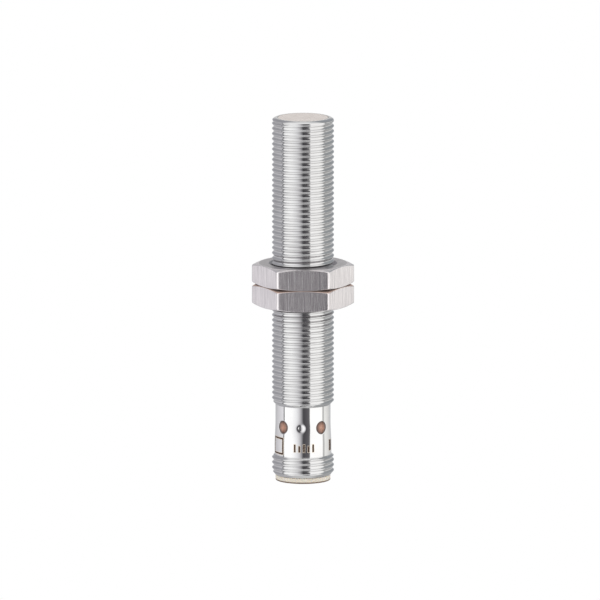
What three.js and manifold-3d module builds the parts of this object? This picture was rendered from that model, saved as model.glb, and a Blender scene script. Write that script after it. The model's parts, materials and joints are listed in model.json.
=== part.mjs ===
// Cylindrical inductive proximity sensor with an M12 x 1 barrel, its plug connector and two mounting nuts.
// Millimetres. The axis is Z, from 0 at the connector's end up to the sensing face.
// The front is -Y, and an azimuth is counted in degrees from the front towards +X.

import * as THREE from 'three';
import { mergeVertices } from 'three/addons/utils/BufferGeometryUtils.js';
import Module from 'manifold-3d';

const wasm = await Module();
wasm.setup();

// Driving dimensions

const LENGTH = 70;
const PITCH = 1;
const CREST_R = 5.9;
const ROOT_R = 5.4;
const RIM_R = 5.1;
const BORE_R = 4.85;
const FIT = 0.05; // radial clearance between parts that push into each other

const CARRIER_LIP = 1.1; // height of the carrier's ring below the barrel
const CONNECTOR_THREAD_TOP = 5.1;
const MAIN_THREAD_BOTTOM = 14.7;
const THREAD_RUNOUT = 0.7;
const END_CHAMFER = 0.5;
// Height of a crest above a whole millimetre on the +X side, in each thread
const MAIN_CREST_Z = 0.37;
const CONNECTOR_CREST_Z = 0.87;

const CONNECTOR_RIM_R = 5.31; // foot of the connector thread's lead-in
const FLARE_R = 5.41; // the smooth section's radius at the connector thread
const WAIST_R = 5.25; // and below the main thread
const FLARE = { low: 6.6, rise: 5, shares: [0, 0.35, 0.7, 1] };
const STUB_R = 5.3; // of the rod that joins the connector thread to the smooth section

const WINDOW_Z = 10.7;
const WINDOW_R = 1.25;
const WINDOW_COUNT = 4;
const WINDOW_FLANGE = { radius: 1.5, near: 4.2, far: 4.55 };
const WINDOW_PROUD = 0.03;
const WINDOW_FIRST_AZIMUTH = 42.6;
const DIMPLE_AZIMUTH = -4;
const DIMPLE_BALL_R = 2;
const DIMPLE_DEPTH = 0.25;

const NUT_ACROSS_FLATS = 17;
const NUT_HEIGHT = 4;
const NUT_LOW_Z = 33.8;
const NUT_GAP = 0.1;
const NUT_BORE_R = 6;
const NUT_COUNTERSINK = 0.5;
const NUT_FACE_R = 8.4; // where the 15 degree corner chamfer starts
const NUT_CHAMFER_SLOPE = Math.tan(THREE.MathUtils.degToRad(15));

const CAP_WALL = 0.5;
const CAP_FACE = 0.85;
const CAP_LOW = 61.2;

const CAVITY_R = 4.2;
const CAVITY_FLOOR = 7.4;
const CARRIER_TOP = 9;
const LIP_R = 5.24;
const LIP_BEVEL = 0.15;
const SEAL_Z = 8.25;
const SEAL_SECTION_R = 0.4;
const PIN_COUNT = 4;
const PIN_R = 0.5;
const PIN_TAIL_R = 0.35;
const PIN_NOSE = { radius: 0.3, low: 0.1, high: 0.6 }; // the rounded tip, above the tip's end
const PIN_CIRCLE_R = 2.5;
const PIN_TIP = 1.6;
const PIN_TOP = 11.2;
const KEY = { width: 1, height: 0.45, low: 0.8 };

const INDICATOR_BOARD = { low: 9.05, high: 9.65, radius: 4.1 };
const LED = { width: 1.8, depth: 0.8, height: 1.5, reach: 3.35, lensR: 0.5, lens: 0.35 };

const CORE = { low: 64.9, high: 69, radius: 4, groove: 66.4, postR: 1.75, wallR: 3.4, holeR: 0.7 };
const BOBBIN = { low: 66.5, high: 68.9, innerR: 1.85, hubR: 2.1, outerR: 3.3, flange: 0.25 };
const SHIELD = { innerR: 4.08, outerR: 4.22 };
const HOLDER = { low: 61.4, high: 64.8, radius: 4.2, slotTop: 63.6 };
const LEAD = { x: 2.45, y: -1, radius: 0.12, holeR: 0.3, top: 66.7, low: 59.5 };

const BOARD = { halfWidth: 3.7, halfThickness: 0.5, low: 22, high: 63.4 };
const POTTING = { low: 13, high: 60.9, radius: 4.75, halfChannel: 2.7, slotGap: 0.15 };
const WIRE = { radius: 0.28, gap: 0.2, straight: 2, lead: 1.5 };

// Parts on the board: heights along the axis, and sizes across it
const CHIP = { low: 47, length: 4.9, halfWidth: 1.5, height: 1.5 };
const CHIP_LEGS = { count: 4, step: 1.27, first: 0.4, halfWidth: 2.3, height: 0.3, width: 0.4 };
const TRANSISTOR = { low: 30, length: 2.5, halfWidth: 2.2, height: 1.5 };
const TRANSISTOR_TAB = { low: 32.3, high: 33.4, halfWidth: 0.9, height: 0.3 };
const TRANSISTOR_LEGS = { places: [-1.5, 0, 1.5], low: 29.2, high: 30.2, halfWidth: 0.25, height: 0.3 };
const ROUND_DIODE = { low: 25.6, high: 29.2, radius: 0.8, bodyR: 0.74, cap: 0.5 };
const TWO_ENDED = { proud: 0.04, endShare: 0.16 };
const SURGE_DIODE = { halfWidth: 1.4, height: 1.9, low: 24.4, high: 28 };
const RESISTOR = { halfWidth: 0.62, height: 0.55, length: 2 };

const ROUND = 32; // sides of the parts that fit the bore
const SMALL_ROUND = 20;
const NUT_ROUND = 36;
const PIN_ROUND = 12;
const WIRE_ROUND = 8;
const LEAD_ROUND = 6;
const WIRE_STEPS = 10; // lengths in a wire or a coil lead
const BALL_STEPS = [20, 12];
const WELD = 1e-4; // corners closer than this are one
const TURN_STEPS = 16; // steps in one turn of a thread
const SPARE = 1; // how far a cutter runs past what it cuts

// Finishes

const FINISHES = {
  nickel: { color: 0xc9c8cb, roughness: 0.14, metalness: 1 },
  nutMetal: { color: 0xb9b4b4, roughness: 0.32, metalness: 1 },
  facePlastic: { color: 0xd6cec8, roughness: 0.5, metalness: 0 },
  creamPlastic: { color: 0xe1d7be, roughness: 0.45, metalness: 0 },
  amberWindow: { color: 0x9a6750, roughness: 0.2, metalness: 0 },
  gold: { color: 0xd9b25a, roughness: 0.25, metalness: 1 },
  ferrite: { color: 0x3a3835, roughness: 0.7, metalness: 0 },
  copper: { color: 0xb5653a, roughness: 0.35, metalness: 1 },
  blackPlastic: { color: 0x232323, roughness: 0.55, metalness: 0 },
  boardGreen: { color: 0x2f6b45, roughness: 0.5, metalness: 0 },
  ceramic: { color: 0xa98c6a, roughness: 0.5, metalness: 0 },
  ledLens: { color: 0xf2d27a, roughness: 0.2, metalness: 0 },
  rubber: { color: 0x1d1d1d, roughness: 0.8, metalness: 0 },
  resin: { color: 0x3d3a36, roughness: 0.35, metalness: 0 },
  wireCover: { color: 0x8a4a2a, roughness: 0.5, metalness: 0 },
};

// Turning meshes into solids and back

function toSolid(geometry) {
  const bare = geometry.clone();
  bare.deleteAttribute('normal');
  bare.deleteAttribute('uv');
  const merged = mergeVertices(bare, WELD);
  const index = merged.index.array;
  const kept = [];
  for (let i = 0; i < index.length; i += 3) {
    const [a, b, c] = index.slice(i, i + 3);
    if (a !== b && b !== c && c !== a) kept.push(a, b, c);
  }
  const vertProperties = new Float32Array(merged.attributes.position.array);
  return new wasm.Manifold(new wasm.Mesh({ numProp: 3, vertProperties, triVerts: new Uint32Array(kept) }));
}

function toGeometry(solid) {
  const mesh = solid.getMesh();
  const geometry = new THREE.BufferGeometry();
  geometry.setAttribute('position', new THREE.BufferAttribute(mesh.vertProperties, 3));
  geometry.setIndex(new THREE.BufferAttribute(mesh.triVerts, 1));
  const flat = geometry.toNonIndexed();
  flat.computeVertexNormals();
  return flat;
}

// Basic shapes

// A profile of [radius, height] pairs turned round Z. It starts and ends on the axis, or closes on itself.
function lathe(profile, sides = ROUND) {
  const points = profile.map(([radius, height]) => new THREE.Vector2(radius, height));
  return toSolid(new THREE.LatheGeometry(points, sides).rotateX(Math.PI / 2));
}

function disc(radius, low, high, sides = ROUND) {
  return lathe([[0, low], [radius, low], [radius, high], [0, high]], sides);
}

function ring(inner, outer, low, high, sides = ROUND) {
  return lathe([[inner, low], [outer, low], [outer, high], [inner, high], [inner, low]], sides);
}

function post(x, y, radius, low, high, sides = PIN_ROUND) {
  return disc(radius, low, high, sides).translate([x, y, 0]);
}

function block(halfX, lowY, highY, lowZ, highZ, x = 0) {
  const box = new THREE.BoxGeometry(2 * halfX, highY - lowY, highZ - lowZ);
  return toSolid(box.translate(x, (lowY + highY) / 2, (lowZ + highZ) / 2));
}

// A round peg that points along -Y, from one distance off the axis to another
function peg(radius, near, far, height, sides = SMALL_ROUND) {
  const cylinder = new THREE.CylinderGeometry(radius, radius, far - near, sides);
  return toSolid(cylinder.translate(0, -(near + far) / 2, height));
}

// A round wire along a smooth curve through the points
function tube(points, radius, steps, sides = WIRE_ROUND) {
  const path = new THREE.CatmullRomCurve3(points.map((p) => new THREE.Vector3(...p)));
  const section = new THREE.Shape();
  section.absarc(0, 0, radius, 0, 2 * Math.PI);
  const options = { steps, extrudePath: path, curveSegments: sides / 2 };
  return toSolid(new THREE.ExtrudeGeometry(section, options));
}

// A right-hand thread as a rod. A crest line and a root line wind up the axis side by side, half a pitch
// apart, with a fan closing each end. The rod runs past both ends and is cut to length by its user.
function threadedRod(low, high, crestZ) {
  const start = Math.floor(low) - 2 * PITCH + crestZ;
  const rows = 2 * Math.ceil((high - start) / PITCH + 2) + 1;
  const at = (row, step) => (step < TURN_STEPS ? row * TURN_STEPS + step : (row + 2) * TURN_STEPS);
  const positions = [];
  for (let row = 0; row < rows; row += 1) {
    const radius = row % 2 === 0 ? CREST_R : ROOT_R;
    for (let step = 0; step < TURN_STEPS; step += 1) {
      const turn = step / TURN_STEPS;
      const angle = 2 * Math.PI * turn;
      positions.push(radius * Math.cos(angle), radius * Math.sin(angle), start + PITCH * (row / 2 + turn));
    }
  }
  const bottom = positions.length / 3;
  const top = bottom + 1;
  positions.push(0, 0, start - 2 * PITCH);
  positions.push(0, 0, start + PITCH * (rows / 2 + 2));

  const index = [];
  for (let step = 0; step < TURN_STEPS; step += 1) {
    const cells = step < TURN_STEPS - 1 ? rows - 1 : rows - 3;
    for (let row = 0; row < cells; row += 1) {
      const corners = [at(row, step), at(row, step + 1), at(row + 1, step + 1), at(row + 1, step)];
      index.push(corners[0], corners[1], corners[2], corners[0], corners[2], corners[3]);
    }
  }
  const lowRim = [];
  const highRim = [];
  for (let step = 0; step < TURN_STEPS; step += 1) {
    lowRim.push(at(0, step));
    highRim.push(at(rows - 1, step));
  }
  lowRim.push(at(2, 0), at(1, 0));
  highRim.push(at(rows - 2, TURN_STEPS - 1), at(rows - 3, TURN_STEPS - 1));
  lowRim.forEach((here, i) => index.push(lowRim[(i + 1) % lowRim.length], here, bottom));
  highRim.forEach((here, i) => index.push(here, highRim[(i + 1) % highRim.length], top));

  const geometry = new THREE.BufferGeometry();
  geometry.setAttribute('position', new THREE.Float32BufferAttribute(positions, 3));
  geometry.setIndex(index);
  return toSolid(geometry);
}

// The scene graph

const sensor = new THREE.Group();

function piece(name, solid, finish, parent = sensor) {
  const mesh = new THREE.Mesh(toGeometry(solid), new THREE.MeshStandardMaterial(finish));
  mesh.name = name;
  parent.add(mesh);
  return mesh;
}

// A group turned so that its -Y side faces the given azimuth
function turnedGroup(azimuth) {
  const group = new THREE.Group();
  group.rotation.z = THREE.MathUtils.degToRad(azimuth);
  sensor.add(group);
  return group;
}

function windowAzimuth(number) {
  return WINDOW_FIRST_AZIMUTH + (number * 360) / WINDOW_COUNT;
}

function pinPlace(number) {
  const angle = Math.PI / 4 + (number * 2 * Math.PI) / PIN_COUNT;
  return [PIN_CIRCLE_R * Math.cos(angle), PIN_CIRCLE_R * Math.sin(angle)];
}

// Barrel

function makeMainThread() {
  const wide = CREST_R + SPARE;
  return threadedRod(MAIN_THREAD_BOTTOM, LENGTH, MAIN_CREST_Z)
    .intersect(disc(wide, MAIN_THREAD_BOTTOM, LENGTH))
    .intersect(lathe([
      [0, MAIN_THREAD_BOTTOM],
      [WAIST_R, MAIN_THREAD_BOTTOM],
      [CREST_R, MAIN_THREAD_BOTTOM + THREAD_RUNOUT],
      [wide, MAIN_THREAD_BOTTOM + THREAD_RUNOUT],
      [wide, LENGTH - END_CHAMFER],
      [CREST_R, LENGTH - END_CHAMFER],
      [RIM_R, LENGTH],
      [0, LENGTH],
    ]));
}

function makeConnectorThread() {
  const wide = CREST_R + SPARE;
  const low = CARRIER_LIP;
  return threadedRod(low, CONNECTOR_THREAD_TOP, CONNECTOR_CREST_Z).intersect(lathe([
    [0, low],
    [CONNECTOR_RIM_R, low],
    [CREST_R, low + THREAD_RUNOUT],
    [wide, low + THREAD_RUNOUT],
    [wide, CONNECTOR_THREAD_TOP - THREAD_RUNOUT],
    [CREST_R, CONNECTOR_THREAD_TOP - THREAD_RUNOUT],
    [FLARE_R, CONNECTOR_THREAD_TOP],
    [0, CONNECTOR_THREAD_TOP],
  ]));
}

// The smooth section, which flares a little towards the connector, with a stub that joins each thread
function makeSmoothSection() {
  const flare = FLARE.shares.map((share) => {
    const drop = (1 + Math.cos(Math.PI * share)) / 2;
    return [WAIST_R + (FLARE_R - WAIST_R) * drop, FLARE.low + FLARE.rise * share];
  });
  return lathe([
    [0, CONNECTOR_THREAD_TOP - SPARE],
    [STUB_R, CONNECTOR_THREAD_TOP - SPARE],
    [STUB_R, CONNECTOR_THREAD_TOP],
    [FLARE_R, CONNECTOR_THREAD_TOP],
    ...flare,
    [WAIST_R, MAIN_THREAD_BOTTOM],
    [WAIST_R, MAIN_THREAD_BOTTOM + SPARE],
    [0, MAIN_THREAD_BOTTOM + SPARE],
  ]);
}

function makeDimpleBall() {
  const ball = new THREE.SphereGeometry(DIMPLE_BALL_R, ...BALL_STEPS);
  const reach = WAIST_R - DIMPLE_DEPTH + DIMPLE_BALL_R;
  return toSolid(ball.translate(0, -reach, WINDOW_Z)).rotate([0, 0, DIMPLE_AZIMUTH]);
}

function makeBarrel() {
  let barrel = makeMainThread().add(makeSmoothSection()).add(makeConnectorThread());
  barrel = barrel.subtract(disc(BORE_R, -SPARE, LENGTH + SPARE));
  for (let i = 0; i < WINDOW_COUNT; i += 1) {
    const hole = peg(WINDOW_R, WINDOW_R, CREST_R + SPARE, WINDOW_Z);
    barrel = barrel.subtract(hole.rotate([0, 0, windowAzimuth(i)]));
  }
  return barrel.subtract(makeDimpleBall());
}

piece('barrel', makeBarrel(), FINISHES.nickel);

// Indicator windows: each is a plug pushed out through the wall, with a flange inside the bore

function makeWindow() {
  const skin = disc(WAIST_R + WINDOW_PROUD, WINDOW_Z - 2 * WINDOW_R, WINDOW_Z + 2 * WINDOW_R);
  const { radius, near, far } = WINDOW_FLANGE;
  const flange = peg(radius, near, far, WINDOW_Z);
  return peg(WINDOW_R - FIT, near, CREST_R, WINDOW_Z).add(flange).intersect(skin);
}

// Light-emitting diodes: a body with a round lens that points out at its window

function makeLed() {
  const { width, depth, height, reach, lensR, lens } = LED;
  const low = INDICATOR_BOARD.high + FIT;
  const body = block(width / 2, -reach - depth / 2, -reach + depth / 2, low, low + height);
  return body.add(peg(lensR, reach, reach + depth / 2 + lens, low + height / 2, PIN_ROUND));
}

for (let i = 0; i < WINDOW_COUNT; i += 1) {
  const group = turnedGroup(windowAzimuth(i));
  piece(`window_${i + 1}`, makeWindow(), FINISHES.amberWindow, group);
  piece(`led_${i + 1}`, makeLed(), FINISHES.ledLens, group);
}

// Sensing end

function makeSensingCap() {
  const outer = BORE_R - FIT;
  const inner = outer - CAP_WALL;
  return lathe([
    [0, LENGTH - CAP_FACE],
    [inner, LENGTH - CAP_FACE],
    [inner, CAP_LOW],
    [outer, CAP_LOW],
    [outer, LENGTH],
    [0, LENGTH],
  ]);
}

function leadHole(side, low, high) {
  return post(side * LEAD.x, LEAD.y, LEAD.holeR, low, high, PIN_ROUND);
}

function withLeadHoles(solid, low, high) {
  return solid.subtract(leadHole(-1, low - SPARE, high)).subtract(leadHole(1, low - SPARE, high));
}

function makeFerriteCore() {
  const core = lathe([
    [CORE.holeR, CORE.low],
    [CORE.radius, CORE.low],
    [CORE.radius, CORE.high],
    [CORE.wallR, CORE.high],
    [CORE.wallR, CORE.groove],
    [CORE.postR, CORE.groove],
    [CORE.postR, CORE.high],
    [CORE.holeR, CORE.high],
    [CORE.holeR, CORE.low],
  ], SMALL_ROUND);
  return withLeadHoles(core, CORE.low, CORE.groove + FIT);
}

function makeBobbin() {
  const { low, high, innerR, hubR, outerR, flange } = BOBBIN;
  const bobbin = lathe([
    [innerR, low],
    [outerR, low],
    [outerR, low + flange],
    [hubR, low + flange],
    [hubR, high - flange],
    [outerR, high - flange],
    [outerR, high],
    [innerR, high],
    [innerR, low],
  ], SMALL_ROUND);
  return withLeadHoles(bobbin, low, low + 2 * flange);
}

function makeWinding() {
  const { low, high, hubR, outerR, flange } = BOBBIN;
  return ring(hubR + FIT, outerR - 2 * FIT, low + flange + FIT, high - flange - FIT, SMALL_ROUND);
}

function makeCoilHolder() {
  const { low, high, radius, slotTop } = HOLDER;
  const gap = 2 * FIT;
  const slot = block(
    BOARD.halfWidth + gap,
    -BOARD.halfThickness - gap,
    BOARD.halfThickness + gap,
    low - SPARE,
    slotTop,
  );
  return withLeadHoles(disc(radius, low, high, SMALL_ROUND).subtract(slot), low, high + SPARE);
}

function makeCoilLead(side) {
  const x = side * LEAD.x;
  const padY = -BOARD.halfThickness - LEAD.radius - FIT;
  const path = [[x, LEAD.y, LEAD.top], [x, LEAD.y, HOLDER.low], [x, padY, LEAD.low + 1], [x, padY, LEAD.low]];
  return tube(path, LEAD.radius, WIRE_STEPS, LEAD_ROUND);
}

piece('sensing_cap', makeSensingCap(), FINISHES.facePlastic);
piece('shield_ring', ring(SHIELD.innerR, SHIELD.outerR, CORE.low, CORE.high), FINISHES.copper);
piece('ferrite_core', makeFerriteCore(), FINISHES.ferrite);
piece('coil_bobbin', makeBobbin(), FINISHES.blackPlastic);
piece('coil_winding', makeWinding(), FINISHES.copper);
piece('coil_holder', makeCoilHolder(), FINISHES.blackPlastic);
piece('coil_lead_1', makeCoilLead(-1), FINISHES.copper);
piece('coil_lead_2', makeCoilLead(1), FINISHES.copper);

// Circuit board and what is soldered to it

const FRONT = -1;
const BACK = 1;

// A part that stands on one side of the board, with its half width, height and span along the axis
function onBoard(side, halfWidth, height, low, high, x = 0) {
  const foot = side * (BOARD.halfThickness + FIT);
  const head = foot + side * height;
  return block(halfWidth, Math.min(foot, head), Math.max(foot, head), low, high, x);
}

function makeChip() {
  const { low, length, halfWidth, height } = CHIP;
  let chip = onBoard(FRONT, halfWidth, height, low, low + length);
  for (let i = 0; i < CHIP_LEGS.count; i += 1) {
    const z = low + CHIP_LEGS.first + i * CHIP_LEGS.step;
    chip = chip.add(onBoard(FRONT, CHIP_LEGS.halfWidth, CHIP_LEGS.height, z, z + CHIP_LEGS.width));
  }
  return chip;
}

function makeTransistor() {
  const { low, length, halfWidth, height } = TRANSISTOR;
  const tab = TRANSISTOR_TAB;
  const legs = TRANSISTOR_LEGS;
  let body = onBoard(BACK, halfWidth, height, low, low + length);
  body = body.add(onBoard(BACK, tab.halfWidth, tab.height, tab.low, tab.high));
  for (const x of legs.places) {
    body = body.add(onBoard(BACK, legs.halfWidth, legs.height, legs.low, legs.high, x));
  }
  return body;
}

// A part with two metal ends that stand a little proud of its middle
function makeTwoEnded(side, halfWidth, height, low, high, x = 0) {
  const { proud, endShare } = TWO_ENDED;
  const end = endShare * (high - low);
  const middle = onBoard(side, halfWidth - proud, height - proud, low + proud, high - proud, x);
  const lowEnd = onBoard(side, halfWidth, height, low, low + end, x);
  return middle.add(lowEnd).add(onBoard(side, halfWidth, height, high - end, high, x));
}

function makeSurgeDiode() {
  const { halfWidth, height, low, high } = SURGE_DIODE;
  return makeTwoEnded(BACK, halfWidth, height, low, high);
}

function makeRoundDiode() {
  const { low, high, radius, bodyR, cap } = ROUND_DIODE;
  const y = -(BOARD.halfThickness + radius + FIT);
  return post(0, y, bodyR, low, high)
    .add(post(0, y, radius, low, low + cap))
    .add(post(0, y, radius, high - cap, high));
}

piece('circuit_board', block(
  BOARD.halfWidth,
  -BOARD.halfThickness,
  BOARD.halfThickness,
  BOARD.low,
  BOARD.high,
), FINISHES.boardGreen);
piece('sensor_chip', makeChip(), FINISHES.blackPlastic);
piece('output_transistor', makeTransistor(), FINISHES.blackPlastic);
piece('polarity_diode', makeRoundDiode(), FINISHES.ceramic);
piece('surge_diode', makeSurgeDiode(), FINISHES.blackPlastic);

const CAPACITORS = [
  { side: FRONT, low: 54, high: 57.2, halfWidth: 0.8, height: 1.2 },
  { side: BACK, low: 37, high: 40.2, halfWidth: 1.25, height: 1.6 },
  { side: FRONT, low: 32, high: 35.2, halfWidth: 1.25, height: 1.6 },
];
CAPACITORS.forEach(({ side, low, high, halfWidth, height }, i) => {
  const solid = makeTwoEnded(side, halfWidth, height, low, high);
  piece(`capacitor_${i + 1}`, solid, FINISHES.ceramic);
});

const RESISTORS = [
  { side: FRONT, low: 40, x: -1.4 },
  { side: FRONT, low: 40, x: 1.4 },
  { side: BACK, low: 50, x: 0 },
];
RESISTORS.forEach(({ side, low, x }, i) => {
  const { halfWidth, height, length } = RESISTOR;
  const solid = makeTwoEnded(side, halfWidth, height, low, low + length, x);
  piece(`resistor_${i + 1}`, solid, FINISHES.blackPlastic);
});

// Cast resin round the board, with a channel for the board and its parts

function makePotting() {
  const { low, high, radius, halfChannel, slotGap } = POTTING;
  const slotY = BOARD.halfThickness + slotGap;
  const slot = block(BOARD.halfWidth + slotGap, -slotY, slotY, low - SPARE, high + SPARE);
  const channel = block(halfChannel, -halfChannel, halfChannel, low - SPARE, high + SPARE);
  return disc(radius, low, high).subtract(slot).subtract(channel);
}

piece('potting', makePotting(), FINISHES.resin);

// Plug connector end

function makeContactCarrier() {
  const sleeve = BORE_R - FIT;
  const lipTop = CARRIER_LIP - FIT;
  const grooveR = sleeve - 2 * SEAL_SECTION_R - FIT;
  const grooveLow = SEAL_Z - SEAL_SECTION_R - FIT;
  const grooveHigh = SEAL_Z + SEAL_SECTION_R + FIT;
  let carrier = lathe([
    [0, CAVITY_FLOOR],
    [CAVITY_R, CAVITY_FLOOR],
    [CAVITY_R, 0],
    [LIP_R - LIP_BEVEL, 0],
    [LIP_R, LIP_BEVEL],
    [LIP_R, lipTop],
    [sleeve, lipTop],
    [sleeve, grooveLow],
    [grooveR, grooveLow],
    [grooveR, grooveHigh],
    [sleeve, grooveHigh],
    [sleeve, CARRIER_TOP],
    [0, CARRIER_TOP],
  ]);
  const keyFoot = CAVITY_R + CAP_WALL / 2;
  const key = block(KEY.width / 2, CAVITY_R - KEY.height, keyFoot, KEY.low, CAVITY_FLOOR + FIT);
  carrier = carrier.add(key);
  for (let i = 0; i < PIN_COUNT; i += 1) {
    const [x, y] = pinPlace(i);
    carrier = carrier.subtract(post(x, y, PIN_R + FIT, CAVITY_FLOOR - SPARE, CARRIER_TOP + SPARE));
  }
  return carrier;
}

// A male contact with a rounded tip and a thin solder tail
function makePin(number) {
  const [x, y] = pinPlace(number);
  return lathe([
    [0, PIN_TIP],
    [PIN_NOSE.radius, PIN_TIP + PIN_NOSE.low],
    [PIN_R, PIN_TIP + PIN_NOSE.high],
    [PIN_R, CARRIER_TOP],
    [PIN_TAIL_R, CARRIER_TOP],
    [PIN_TAIL_R, PIN_TOP],
    [0, PIN_TOP],
  ], PIN_ROUND).translate([x, y, 0]);
}

function makeIndicatorBoard() {
  const { low, high, radius } = INDICATOR_BOARD;
  let board = disc(radius, low, high, SMALL_ROUND);
  for (let i = 0; i < PIN_COUNT; i += 1) {
    const [x, y] = pinPlace(i);
    board = board.subtract(post(x, y, PIN_TAIL_R + FIT, low - SPARE, high + SPARE));
  }
  return board;
}

function makeSeal() {
  const centreR = BORE_R - FIT - SEAL_SECTION_R;
  const profile = [];
  for (let i = 0; i <= WIRE_ROUND; i += 1) {
    const angle = (2 * Math.PI * (i % WIRE_ROUND)) / WIRE_ROUND;
    const r = centreR + SEAL_SECTION_R * Math.cos(angle);
    profile.push([r, SEAL_Z + SEAL_SECTION_R * Math.sin(angle)]);
  }
  return lathe(profile);
}

// A wire from a pin's tail up to its pad on the circuit board
function makeWire(number) {
  const [x, y] = pinPlace(number);
  const { radius, gap, straight, lead } = WIRE;
  const padY = Math.sign(y) * (BOARD.halfThickness + radius + FIT);
  const start = PIN_TOP + gap;
  return tube([
    [x, y, start],
    [x, y, start + straight],
    [x, padY, BOARD.low - lead],
    [x, padY, BOARD.low + lead],
  ], radius, WIRE_STEPS);
}

piece('contact_carrier', makeContactCarrier(), FINISHES.creamPlastic);
piece('carrier_seal', makeSeal(), FINISHES.rubber);
piece('indicator_board', makeIndicatorBoard(), FINISHES.boardGreen);
for (let i = 0; i < PIN_COUNT; i += 1) {
  piece(`contact_pin_${i + 1}`, makePin(i), FINISHES.gold);
}
['supply_wire', 'ground_wire', 'output_wire'].forEach((name, i) => {
  piece(name, makeWire(i), FINISHES.wireCover);
});

// Mounting nuts

function makeNut(low) {
  const high = low + NUT_HEIGHT;
  const cornerR = NUT_ACROSS_FLATS / Math.sqrt(3);
  const chamferR = cornerR + SPARE;
  const drop = (chamferR - NUT_FACE_R) * NUT_CHAMFER_SLOPE;
  const hexagon = new THREE.Shape();
  for (let i = 0; i < 6; i += 1) {
    const angle = (i * Math.PI) / 3;
    const [x, y] = [cornerR * Math.cos(angle), cornerR * Math.sin(angle)];
    if (i === 0) hexagon.moveTo(x, y);
    else hexagon.lineTo(x, y);
  }
  const prism = new THREE.ExtrudeGeometry(hexagon, { depth: NUT_HEIGHT, bevelEnabled: false });
  const chamfer = lathe([
    [0, low],
    [NUT_FACE_R, low],
    [chamferR, low + drop],
    [chamferR, high - drop],
    [NUT_FACE_R, high],
    [0, high],
  ], NUT_ROUND);
  const bore = lathe([
    [0, low - SPARE],
    [NUT_BORE_R + NUT_COUNTERSINK + SPARE, low - SPARE],
    [NUT_BORE_R, low + NUT_COUNTERSINK],
    [NUT_BORE_R, high - NUT_COUNTERSINK],
    [NUT_BORE_R + NUT_COUNTERSINK + SPARE, high + SPARE],
    [0, high + SPARE],
  ], NUT_ROUND);
  return toSolid(prism.translate(0, 0, low)).intersect(chamfer).subtract(bore);
}

piece('nut_lower', makeNut(NUT_LOW_Z), FINISHES.nutMetal);
piece('nut_upper', makeNut(NUT_LOW_Z + NUT_HEIGHT + NUT_GAP), FINISHES.nutMetal);

export default sensor;
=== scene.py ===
"""Looks of the cylindrical proximity sensor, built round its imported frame. All lengths are in metres."""

import json
import math

import bmesh
import bpy
import numpy as np
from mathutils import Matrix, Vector


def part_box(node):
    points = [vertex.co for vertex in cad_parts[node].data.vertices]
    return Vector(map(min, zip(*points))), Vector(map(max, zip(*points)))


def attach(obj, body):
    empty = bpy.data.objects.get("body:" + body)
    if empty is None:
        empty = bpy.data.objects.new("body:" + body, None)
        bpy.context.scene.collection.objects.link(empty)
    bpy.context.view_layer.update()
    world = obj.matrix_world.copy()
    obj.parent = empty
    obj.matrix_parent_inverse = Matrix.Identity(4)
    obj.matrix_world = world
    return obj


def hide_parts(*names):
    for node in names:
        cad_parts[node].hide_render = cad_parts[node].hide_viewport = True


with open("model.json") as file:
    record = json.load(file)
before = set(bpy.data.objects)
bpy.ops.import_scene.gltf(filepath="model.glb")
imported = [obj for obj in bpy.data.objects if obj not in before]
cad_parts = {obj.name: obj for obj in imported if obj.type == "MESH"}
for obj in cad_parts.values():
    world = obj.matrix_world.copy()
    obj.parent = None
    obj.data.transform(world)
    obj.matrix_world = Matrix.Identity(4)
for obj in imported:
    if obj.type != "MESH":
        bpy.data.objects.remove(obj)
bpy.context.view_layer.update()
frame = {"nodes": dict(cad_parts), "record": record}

MM = 0.001

# Driving sizes, read from the frame or in millimetres times MM

BARREL_LOW, BARREL_HIGH = (corner.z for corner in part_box("barrel"))
CREST_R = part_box("barrel")[1].x
CAP_R = 4.8 * MM
BORE_R = 4.85 * MM
RIM_R = 5.1 * MM
MAIN_BOTTOM = 14.7 * MM
CONNECTOR_TOP = 5.1 * MM
CHAMFER = 0.7 * MM

PITCH = 1.0 * MM
THREAD_DEPTH = 0.32 * MM
CREST_HALF = 0.09  # half the flat crest, as a share of the pitch
CREST_ROUND = 0.12 * MM
ROOT_ROUND = 0.2 * MM
MAIN_CREST_Z = 0.37 * MM
CONNECTOR_CREST_Z = 0.87 * MM
SHOULDER = 0.8 * MM
SHOULDER_BEND = 3.6
RUNOUT = 0.38 * MM
COLLAR = 0.75 * MM
COLLAR_FADE = 0.25 * MM
COLLAR_CUT = 0.06 * MM
NECK_DEPTH = 0.16 * MM
NECK_BELOW = 0.16 * MM
NECK_HALF = 0.08 * MM

WAIST_R = 5.25 * MM
FLARE_R = 5.41 * MM
FLARE_START = 1.5 * MM
FLARE_LENGTH = 5 * MM

WINDOW_Z = (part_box("window_1")[0].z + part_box("window_1")[1].z) / 2
WINDOW_R = 1.33 * MM
WINDOW_AZIMUTHS = [42.6, 132.6, 222.6, 312.6]
POCKET_DEPTH = 0.36 * MM
PLUG_R = 0.91 * WINDOW_R
PLUG_SUNK = 0.05 * MM
PLUG_DOME = 0.06 * MM
PLUG_MIDDLE = 0.16 * MM
PLUG_THICK = 0.33 * MM
DIMPLE_AZIMUTH = -4.0
DIMPLE_R = 0.62 * MM
DIMPLE_DEPTH = 0.25 * MM
DRAW_R = 1.2 * MM
DRAW_DEPTH = 0.045 * MM

NUT_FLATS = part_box("nut_upper")[1].y
NUT_CORNER_ROUND = 0.6 * MM
NUT_FACE_R = 8.36 * MM
NUT_BORE_R = 6.0 * MM
NUT_SINK = 0.5 * MM
NUT_SPARE = 0.04 * MM
NUT_SLOPE = math.tan(math.radians(15))

# Fineness of the grids

TURN_STEPS = 80
PITCH_ROWS = np.arange(18) / 18 - 0.5
WINDOW_RAYS = 256


# Meshes

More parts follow.
